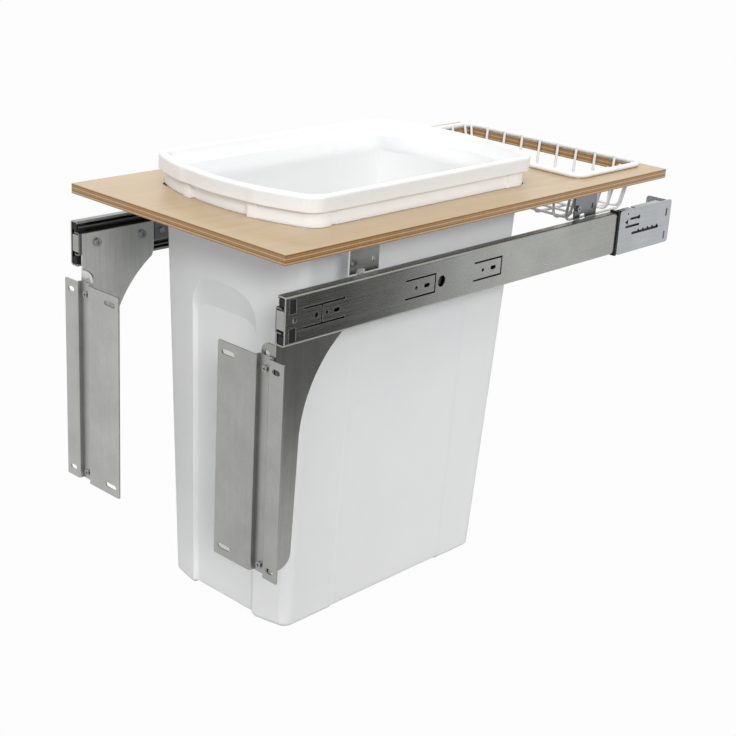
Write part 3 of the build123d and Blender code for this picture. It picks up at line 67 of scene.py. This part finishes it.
class Tree:
    """A material with short calls for its nodes and links."""

    def __init__(self, name):
        self.material = bpy.data.materials.new(name)
        self.material.use_nodes = True
        self.nodes = self.material.node_tree.nodes
        self.links = self.material.node_tree.links
        self.nodes.clear()
        self.output = self.nodes.new("ShaderNodeOutputMaterial")
        self.shader = self.nodes.new("ShaderNodeBsdfPrincipled")
        self.link(self.shader.outputs[0], self.output.inputs["Surface"])

    def link(self, source, target):
        self.links.new(source, target)

    def put(self, target, value):
        """Sets a socket to a number or colour, or links it to an output."""
        if isinstance(value, bpy.types.NodeSocket):
            self.link(value, target)
        else:
            target.default_value = value

    def coordinates(self, scale=(1, 1, 1), rotation=(0, 0, 0)):
        place = self.nodes.new("ShaderNodeTexCoord")
        mapping = self.nodes.new("ShaderNodeMapping")
        mapping.inputs["Scale"].default_value = scale
        mapping.inputs["Rotation"].default_value = rotation
        self.link(place.outputs["Object"], mapping.inputs["Vector"])
        return mapping.outputs["Vector"]

    def noise(self, vector, scale, detail=4.0, roughness=0.55, distortion=0.0):
        node = self.nodes.new("ShaderNodeTexNoise")
        self.link(vector, node.inputs["Vector"])
        node.inputs["Scale"].default_value = scale
        node.inputs["Detail"].default_value = detail
        node.inputs["Roughness"].default_value = roughness
        node.inputs["Distortion"].default_value = distortion
        return node.outputs["Fac"]

    def voronoi(self, vector, scale):
        node = self.nodes.new("ShaderNodeTexVoronoi")
        self.link(vector, node.inputs["Vector"])
        node.inputs["Scale"].default_value = scale
        return node.outputs["Color"]

    def ramp(self, factor, stops, interpolation="LINEAR"):
        node = self.nodes.new("ShaderNodeValToRGB")
        node.color_ramp.interpolation = interpolation
        elements = node.color_ramp.elements
        while len(elements) > 1:
            elements.remove(elements[-1])
        elements[0].position = stops[0][0]
        elements[0].color = rgba(stops[0][1])
        for position, colour in stops[1:]:
            elements.new(position).color = rgba(colour)
        self.link(factor, node.inputs["Fac"])
        return node.outputs["Color"]

    def math(self, operation, first, second=0.0, third=0.0):
        node = self.nodes.new("ShaderNodeMath")
        node.operation = operation
        for socket, value in zip(node.inputs, (first, second, third)):
            self.put(socket, value)
        return node.outputs[0]

    def mix(self, factor, first, second, blend="MIX"):
        node = self.nodes.new("ShaderNodeMix")
        node.data_type = "RGBA"
        node.blend_type = blend
        self.put(node.inputs[0], factor)
        for index, value in ((6, first), (7, second)):
            self.put(node.inputs[index], value if isinstance(value, bpy.types.NodeSocket) else rgba(value))
        return node.outputs[2]

    def bump(self, height, strength, distance, normal=None):
        node = self.nodes.new("ShaderNodeBump")
        node.inputs["Strength"].default_value = strength
        node.inputs["Distance"].default_value = distance
        self.link(height, node.inputs["Height"])
        if normal is not None:
            self.link(normal, node.inputs["Normal"])
        return node.outputs["Normal"]

    def axis(self, vector, index):
        node = self.nodes.new("ShaderNodeSeparateXYZ")
        self.link(vector, node.inputs[0])
        return node.outputs[index]

    def step(self, value, place, falling=False):
        """0 to 1 over a narrow smooth step centred at a place."""
        node = self.nodes.new("ShaderNodeMapRange")
        node.interpolation_type = "SMOOTHSTEP"
        self.link(value, node.inputs["Value"])
        reach = STEP_WIDTH / 2 if falling else -STEP_WIDTH / 2
        node.inputs["From Min"].default_value = place + reach
        node.inputs["From Max"].default_value = place - reach
        return node.outputs["Result"]

    def normal(self):
        return self.nodes.new("ShaderNodeNewGeometry").outputs["Normal"]

    def rounded(self, radius):
        """Normal with every edge softened to a small radius, and a mask of those edges for a painted
        highlight.
        """
        soft = self.nodes.new("ShaderNodeBevel")
        soft.samples = SHADER_SAMPLES
        soft.inputs["Radius"].default_value = radius
        turn = self.nodes.new("ShaderNodeVectorMath")
        turn.operation = "DOT_PRODUCT"
        self.link(soft.outputs[0], turn.inputs[0])
        self.link(self.normal(), turn.inputs[1])
        edge = self.math("MULTIPLY", self.math("SUBTRACT", 1.0, turn.outputs["Value"]), 6.0)
        return soft.outputs[0], self.math("MINIMUM", edge, 1.0)

    def crevice(self, distance):
        """0 deep in a gap or corner, 1 on open surfaces; a mask for painted shade."""
        node = self.nodes.new("ShaderNodeAmbientOcclusion")
        node.samples = SHADER_SAMPLES
        node.inputs["Distance"].default_value = distance
        return node.outputs["AO"]

    def set(self, **values):
        for name, value in values.items():
            self.put(self.shader.inputs[name.replace("_", " ")], value)


def rgba(colour):
    if isinstance(colour, (int, float)):
        return (colour, colour, colour, 1.0)
    return (colour[0], colour[1], colour[2], 1.0)


# ---------------------------------------------------------------- materials

def plated_steel(
    name, base, roughness, stretch, grain=0.16, spangle=0.05, mottle=0.08, painted_shade=0.45, bend=0.0003
):
    """Zinc-plated steel: rolling lines along one axis, a cloudy plating, a painted highlight on the edges,
    painted shade in corners.
    """
    tree = Tree(name)
    lines = tree.noise(tree.coordinates(stretch), 1.0, 6.0, 0.7)
    clouds = tree.noise(tree.coordinates(), 22.0, 5.0, 0.6)
    crystals = tree.axis(tree.voronoi(tree.coordinates(), 420.0), 0)
    dark = [c * (1 - mottle) for c in base]
    light = [min(1.0, c * (1 + mottle)) for c in base]
    colour = tree.ramp(clouds, [(0.3, dark), (0.7, light)])
    colour = tree.mix(spangle, colour, tree.ramp(crystals, [(0.0, 0.2), (1.0, 1.0)]), "MULTIPLY")
    streaks = tree.ramp(lines, [(0.25, 1.0 - 2 * grain), (0.75, 1.0)])
    colour = tree.mix(1.0, colour, streaks, "MULTIPLY")
    soft, edge = tree.rounded(bend)
    # Painted highlight: edges found by the bevel are lightened towards 1.6 times the base colour
    colour = tree.mix(tree.math("MULTIPLY", edge, 0.18), colour, [min(1.0, c * 1.6) for c in base])
    # Painted shade: colour darkened in gaps and corners found by ambient occlusion
    corners = tree.ramp(tree.crevice(0.006), [(0.25, 1.0 - painted_shade), (0.8, 1.0)])
    colour = tree.mix(1.0, colour, corners, "MULTIPLY")
    rough = tree.math("MULTIPLY_ADD", lines, 0.22, roughness - 0.11)
    tree.set(Base_Color=colour, Metallic=1.0, Roughness=rough)
    fine = tree.bump(lines, 0.25, 0.0002, soft)
    tree.set(Normal=tree.bump(clouds, 0.12, 0.0012, fine))
    return tree.material


def moulded(
    name, base, roughness, grain_scale, grain_depth, specular=0.5, wave_depth=0.0, glow=0.0, panel=None
):
    """Moulded plastic: fine surface grain, faint unevenness in tone and gloss."""
    tree = Tree(name)
    place = tree.coordinates()
    tone = tree.noise(place, 9.0, 3.0, 0.5)
    grain = tree.noise(place, grain_scale, 3.0, 0.6)
    dark = [c * 0.965 for c in base]
    colour = tree.ramp(tone, [(0.3, dark), (0.7, base)])
    rough = tree.math("MULTIPLY_ADD", grain, 0.12, roughness - 0.06)
    tree.set(Base_Color=colour, Roughness=rough)
    tree.shader.inputs["Specular IOR Level"].default_value = specular
    if glow:
        tree.shader.inputs["Subsurface Weight"].default_value = glow
        tree.shader.inputs["Subsurface Radius"].default_value = (0.9, 1.0, 1.1)
        tree.shader.inputs["Subsurface Scale"].default_value = 0.008
    fine = tree.bump(grain, 0.5, grain_depth, tree.rounded(0.0004)[0])
    if wave_depth:
        fine = tree.bump(tree.noise(place, 5.0, 2.0, 0.5), 1.0, wave_depth, fine)
    if panel:
        depth = tree.axis(place, 1)
        raised = tree.math("MULTIPLY", tree.step(depth, panel[0]), tree.step(depth, panel[1], falling=True))
        sideways = tree.math("GREATER_THAN", tree.math("ABSOLUTE", tree.axis(tree.normal(), 0)), FACING)
        fine = tree.bump(tree.math("MULTIPLY", raised, sideways), 1.0, PANEL_RISE, fine)
    tree.set(Normal=fine)
    return tree.material


def plywood(name):
    """Clear-lacquered birch plywood: flat-sawn face grain on top, stacked plies on the edges."""
    tree = Tree(name)
    place = tree.coordinates()
    # Face: long soft figure with fine pores along Y
    figure = tree.noise(tree.coordinates((26, 3.2, 26)), 1.0, 3.0, 0.45, 0.8)
    fibres = tree.noise(tree.coordinates((900, 26, 900)), 1.0, 4.0, 0.6)
    clouds = tree.noise(place, 6.0, 3.0, 0.5)
    face = tree.ramp(figure, [
        (0.25, (0.480, 0.358, 0.218)),
        (0.45, (0.535, 0.408, 0.256)),
        (0.60, (0.500, 0.374, 0.231)),
        (0.80, (0.560, 0.434, 0.281)),
    ])
    face = tree.mix(0.35, face, tree.ramp(fibres, [(0.35, (0.78, 0.72, 0.62)), (0.6, 1.0)]), "MULTIPLY")
    face = tree.mix(0.25, face, tree.ramp(clouds, [(0.3, (0.9, 0.86, 0.8)), (0.7, 1.0)]), "MULTIPLY")
    # Edge: plies alternate between end grain and long grain
    height = tree.math("DIVIDE", tree.math("MULTIPLY", tree.axis(place, 2), -1.0), PLY_THICKNESS)
    wobble = tree.math("MULTIPLY_ADD", tree.noise(tree.coordinates((14, 14, 60)), 1.0, 2.0), 0.05, -0.025)
    light, golden = (0.56, 0.38, 0.20), (0.46, 0.26, 0.098)
    brown, glue = (0.31, 0.155, 0.053), (0.10, 0.045, 0.016)
    ply = tree.ramp(tree.math("ADD", height, wobble), [
        (0.00, light), (0.06, light), (0.09, glue), (0.13, brown), (0.30, golden), (0.33, glue),
        (0.37, light), (0.49, light), (0.52, glue), (0.56, golden), (0.70, brown), (0.73, glue),
        (0.77, light), (0.90, light), (0.93, glue), (0.96, golden),
    ])
    ends = tree.noise(tree.coordinates((420, 420, 90)), 1.0, 4.0, 0.65)
    ply = tree.mix(0.5, ply, tree.ramp(ends, [(0.3, (0.72, 0.64, 0.54)), (0.7, 1.0)]), "MULTIPLY")
    upright = tree.math("ABSOLUTE", tree.axis(tree.normal(), 2))
    flat = tree.math("GREATER_THAN", upright, FACING)
    colour = tree.mix(flat, ply, face)
    rough = tree.math("MULTIPLY_ADD", fibres, 0.15, 0.36)
    tree.set(Base_Color=colour, Roughness=rough)
    tree.shader.inputs["Specular IOR Level"].default_value = 0.35
    tree.shader.inputs["Coat Weight"].default_value = 0.3
    tree.shader.inputs["Coat Roughness"].default_value = 0.14
    tree.set(Normal=tree.bump(fibres, 0.15, 0.0003))
    return tree.material


MATERIALS = {
    "zinc_slide": plated_steel(
        "zinc_slide", (0.385, 0.392, 0.37), 0.28, ALONG_SLIDE, grain=0.08, bend=0.0007
    ),
    "zinc_bracket": plated_steel("zinc_bracket", (0.47, 0.49, 0.515), 0.28, ALONG_SLIDE, grain=0.08),
    "arm_steel": plated_steel("arm_steel", (0.38, 0.384, 0.364), 0.33, UPRIGHT, grain=0.12),
    "door_bracket_steel": plated_steel(
        "door_bracket_steel", (0.42, 0.425, 0.405), 0.42, UPRIGHT, grain=0.08
    ),
    "ball_steel": plated_steel(
        "ball_steel", (0.75, 0.76, 0.77), 0.12, (60, 60, 60), grain=0.02, spangle=0.0
    ),
    "cage_steel": plated_steel("cage_steel", (0.60, 0.60, 0.58), 0.30, ALONG_SLIDE),
    "screw_zinc": plated_steel("screw_zinc", (0.42, 0.43, 0.44), 0.28, (400, 400, 400), grain=0.06),
    "black_plastic": moulded("black_plastic", (0.014, 0.014, 0.015), 0.55, 900.0, 0.0001, 0.25),
    "grey_plastic": moulded("grey_plastic", (0.36, 0.36, 0.345), 0.45, 900.0, 0.0001),
    "bin_white": moulded(
        "bin_white", (0.915, 0.93, 0.94), 0.40, 1400.0, 0.00012, 0.45, 0.0009, 0.5, SIDE_PANEL
    ),
    "basket_white": moulded("basket_white", (0.84, 0.84, 0.84), 0.30, 500.0, 0.0001, 0.5),
    "plywood": plywood("plywood"),
}

# Painted light: lit and shaded copies of the slot's steel for single pieces. The steel inside the slides is
# darkened and a little rougher as painted shade, and the far arm is lightened as a painted reflection of
# the bin
# Painted shade: darker base and stronger painted crevice shade for the slides' middle and drawer members
SHADED_INNER_STEEL = plated_steel("zinc_slide_inner_painted_shade", (0.24, 0.24, 0.23), 0.34, ALONG_SLIDE, painted_shade=0.7)
PAINTED_LIGHT_MATERIALS = {
    # Painted highlight: the right front platform bracket is lighter than its slot's steel
    "right_front_platform_bracket": plated_steel(
        "zinc_front_platform_bracket_painted_highlight", (0.60, 0.60, 0.585), 0.30, ALONG_SLIDE, grain=0.08, painted_shade=0.6
    ),
    # Painted reflection of the white bin: the far arm plate is about twice as light as the near arm's steel
    "left_arm_plate": plated_steel("arm_steel_left_painted_reflection", (0.74, 0.745, 0.71), 0.33, UPRIGHT, grain=0.12),
    # Painted light: the left door bracket is lighter than its slot's steel
    "left_door_bracket": plated_steel(
        "door_bracket_steel_left_painted_light", (0.50, 0.505, 0.485), 0.42, UPRIGHT, grain=0.08
    ),
}
# Painted shade: the other platform brackets are darker than their slot's steel, with stronger painted
# crevice shade
SHADED_BRACKET_STEEL = plated_steel(
    "zinc_rear_platform_bracket_painted_shade", (0.25, 0.26, 0.265), 0.30, ALONG_SLIDE, grain=0.08, painted_shade=0.7
)

slots = {part["node"]: part["material_slot"] for part in frame["record"]["subparts"]}
for name, node in NODES.items():
    if name in PAINTED_LIGHT_MATERIALS:
        material = PAINTED_LIGHT_MATERIALS[name]
    elif name.endswith(("middle_member", "drawer_member")):
        material = SHADED_INNER_STEEL
    elif name.endswith("platform_bracket"):
        material = SHADED_BRACKET_STEEL
    else:
        material = MATERIALS[slots[name]]
    node.data.materials.clear()
    node.data.materials.append(material)
    for polygon in node.data.polygons:
        polygon.use_smooth = True
    split = node.modifiers.new("edges", "EDGE_SPLIT")
    split.split_angle = math.radians(SMOOTH_ANGLE)


# ---------------------------------------------------------------- stage, light and camera

def camera_axes():
    """The camera's right, its up, and the way back from the target."""
    azimuth, elevation, roll = (math.radians(a) for a in (AZIMUTH, ELEVATION, ROLL))
    back = Vector((
        math.sin(azimuth) * math.cos(elevation),
        -math.cos(azimuth) * math.cos(elevation),
        math.sin(elevation),
    ))
    level = Vector((math.cos(azimuth), math.sin(azimuth), 0.0))
    rise = back.cross(level)
    right = level * math.cos(roll) + rise * math.sin(roll)
    up = rise * math.cos(roll) - level * math.sin(roll)
    return right, up, back


def add_camera():
    """The photo's own camera."""
    right, up, back = camera_axes()
    data = bpy.data.cameras.new("camera")
    data.sensor_fit = "HORIZONTAL"
    data.sensor_width = SENSOR_MM
    data.lens = FOCAL_PIXELS / IMAGE * SENSOR_MM
    data.clip_start = CLIP_START
    data.clip_end = CLIP_END
    camera = bpy.data.objects.new("camera", data)
    bpy.context.collection.objects.link(camera)
    turn = Matrix((right, up, back)).transposed().to_4x4()
    camera.matrix_world = Matrix.Translation(TARGET + back * DISTANCE) @ turn
    bpy.context.scene.camera = camera


def seen_directly(nodes, links):
    """1 for camera, glossy and transmission rays."""
    path = nodes.new("ShaderNodeLightPath")
    total = path.outputs["Is Camera Ray"]
    for name in ("Is Glossy Ray", "Is Transmission Ray"):
        add = nodes.new("ShaderNodeMath")
        add.operation = "MAXIMUM"
        links.new(total, add.inputs[0])
        links.new(path.outputs[name], add.inputs[1])
        total = add.outputs[0]
    return total


def empty_tree(owner, output):
    """Clears the nodes of a world or material, and adds an output."""
    owner.use_nodes = True
    nodes, links = owner.node_tree.nodes, owner.node_tree.links
    nodes.clear()
    return nodes, links, nodes.new(output).inputs["Surface"]


def sheet(name, corners, material):
    """A single four-cornered face."""
    mesh = bpy.data.meshes.new(name)
    mesh.from_pydata(corners, [], [(0, 1, 2, 3)])
    mesh.materials.append(material)
    made = bpy.data.objects.new(name, mesh)
    bpy.context.collection.objects.link(made)
    return made


def add_world(level):
    """Even light all round, shown as plain white."""
    world = bpy.data.worlds.new("studio")
    nodes, links, surface = empty_tree(world, "ShaderNodeOutputWorld")
    mix = nodes.new("ShaderNodeMixShader")
    light = nodes.new("ShaderNodeBackground")
    shown = nodes.new("ShaderNodeBackground")
    for background, strength in ((light, level), (shown, 1.0)):
        background.inputs["Color"].default_value = (1, 1, 1, 1)
        background.inputs["Strength"].default_value = strength
    links.new(seen_directly(nodes, links), mix.inputs[0])
    links.new(light.outputs[0], mix.inputs[1])
    links.new(shown.outputs[0], mix.inputs[2])
    links.new(mix.outputs[0], surface)
    bpy.context.scene.world = world


def add_floor(size, glow):
    """Pale floor: it takes the object's shadow, and shows close to white."""
    material = bpy.data.materials.new("floor")
    nodes, links, surface = empty_tree(material, "ShaderNodeOutputMaterial")
    mix = nodes.new("ShaderNodeMixShader")
    cloth = nodes.new("ShaderNodeBsdfDiffuse")
    shown = nodes.new("ShaderNodeEmission")
    fade = nodes.new("ShaderNodeMath")
    fade.operation = "MULTIPLY"
    fade.inputs[1].default_value = glow
    cloth.inputs["Color"].default_value = rgba(FLOOR_CLOTH)
    shown.inputs["Color"].default_value = (1, 1, 1, 1)
    links.new(seen_directly(nodes, links), fade.inputs[0])
    links.new(fade.outputs[0], mix.inputs[0])
    links.new(cloth.outputs[0], mix.inputs[1])
    links.new(shown.outputs[0], mix.inputs[2])
    links.new(mix.outputs[0], surface)
    corners = [(-size, -size, 0), (size, -size, 0), (size, size, 0), (-size, size, 0)]
    floor = sheet("floor", corners, material)
    floor.location = (0, 0, FLOOR_Z)


def add_dark_card(name, x, y_range, z_range):
    """Studio flag beside the near slide: steel facing it mirrors dark at the front, light at the rear."""
    material = bpy.data.materials.new(name)
    nodes, links, surface = empty_tree(material, "ShaderNodeOutputMaterial")
    shown = nodes.new("ShaderNodeEmission")
    place = nodes.new("ShaderNodeTexCoord")
    split = nodes.new("ShaderNodeSeparateXYZ")
    fade = nodes.new("ShaderNodeMapRange")
    links.new(place.outputs["Generated"], split.inputs[0])
    links.new(split.outputs[1], fade.inputs["Value"])
    for socket, value in CARD_FADE.items():
        fade.inputs[socket].default_value = value
    links.new(fade.outputs[0], shown.inputs["Strength"])
    links.new(shown.outputs[0], surface)
    (front, rear), (low, high) = y_range, z_range
    card = sheet(name, [(x, front, low), (x, rear, low), (x, rear, high), (x, front, high)], material)
    card.visible_camera = False
    card.visible_diffuse = False
    card.visible_shadow = False


def add_sun(name, direction, strength, spread, mirrored=False):
    """Parallel light with a soft edge, which polished faces mirror only where asked."""
    data = bpy.data.lights.new(name, "SUN")
    data.energy = strength
    data.angle = math.radians(spread)
    lamp = bpy.data.objects.new(name, data)
    lamp.visible_glossy = mirrored
    lamp.rotation_euler = Vector(direction).to_track_quat("-Z", "Y").to_euler()
    bpy.context.collection.objects.link(lamp)


add_camera()
add_world(0.67)
add_floor(FLOOR_SIZE, FLOOR_GLOW)
add_dark_card("flag", 0.5, (0.12, 0.85), (FLOOR_Z, 0.15))
add_sun("top", (-0.15, 0.45, -0.9), 1.2, 60, mirrored=True)
add_sun("fill", (-0.8, 0.55, -0.44), 1.3, 14)
add_sun("back", (0.7, -0.6, -0.35), 0.8, 30)

bpy.context.scene.view_settings.view_transform = "Standard"
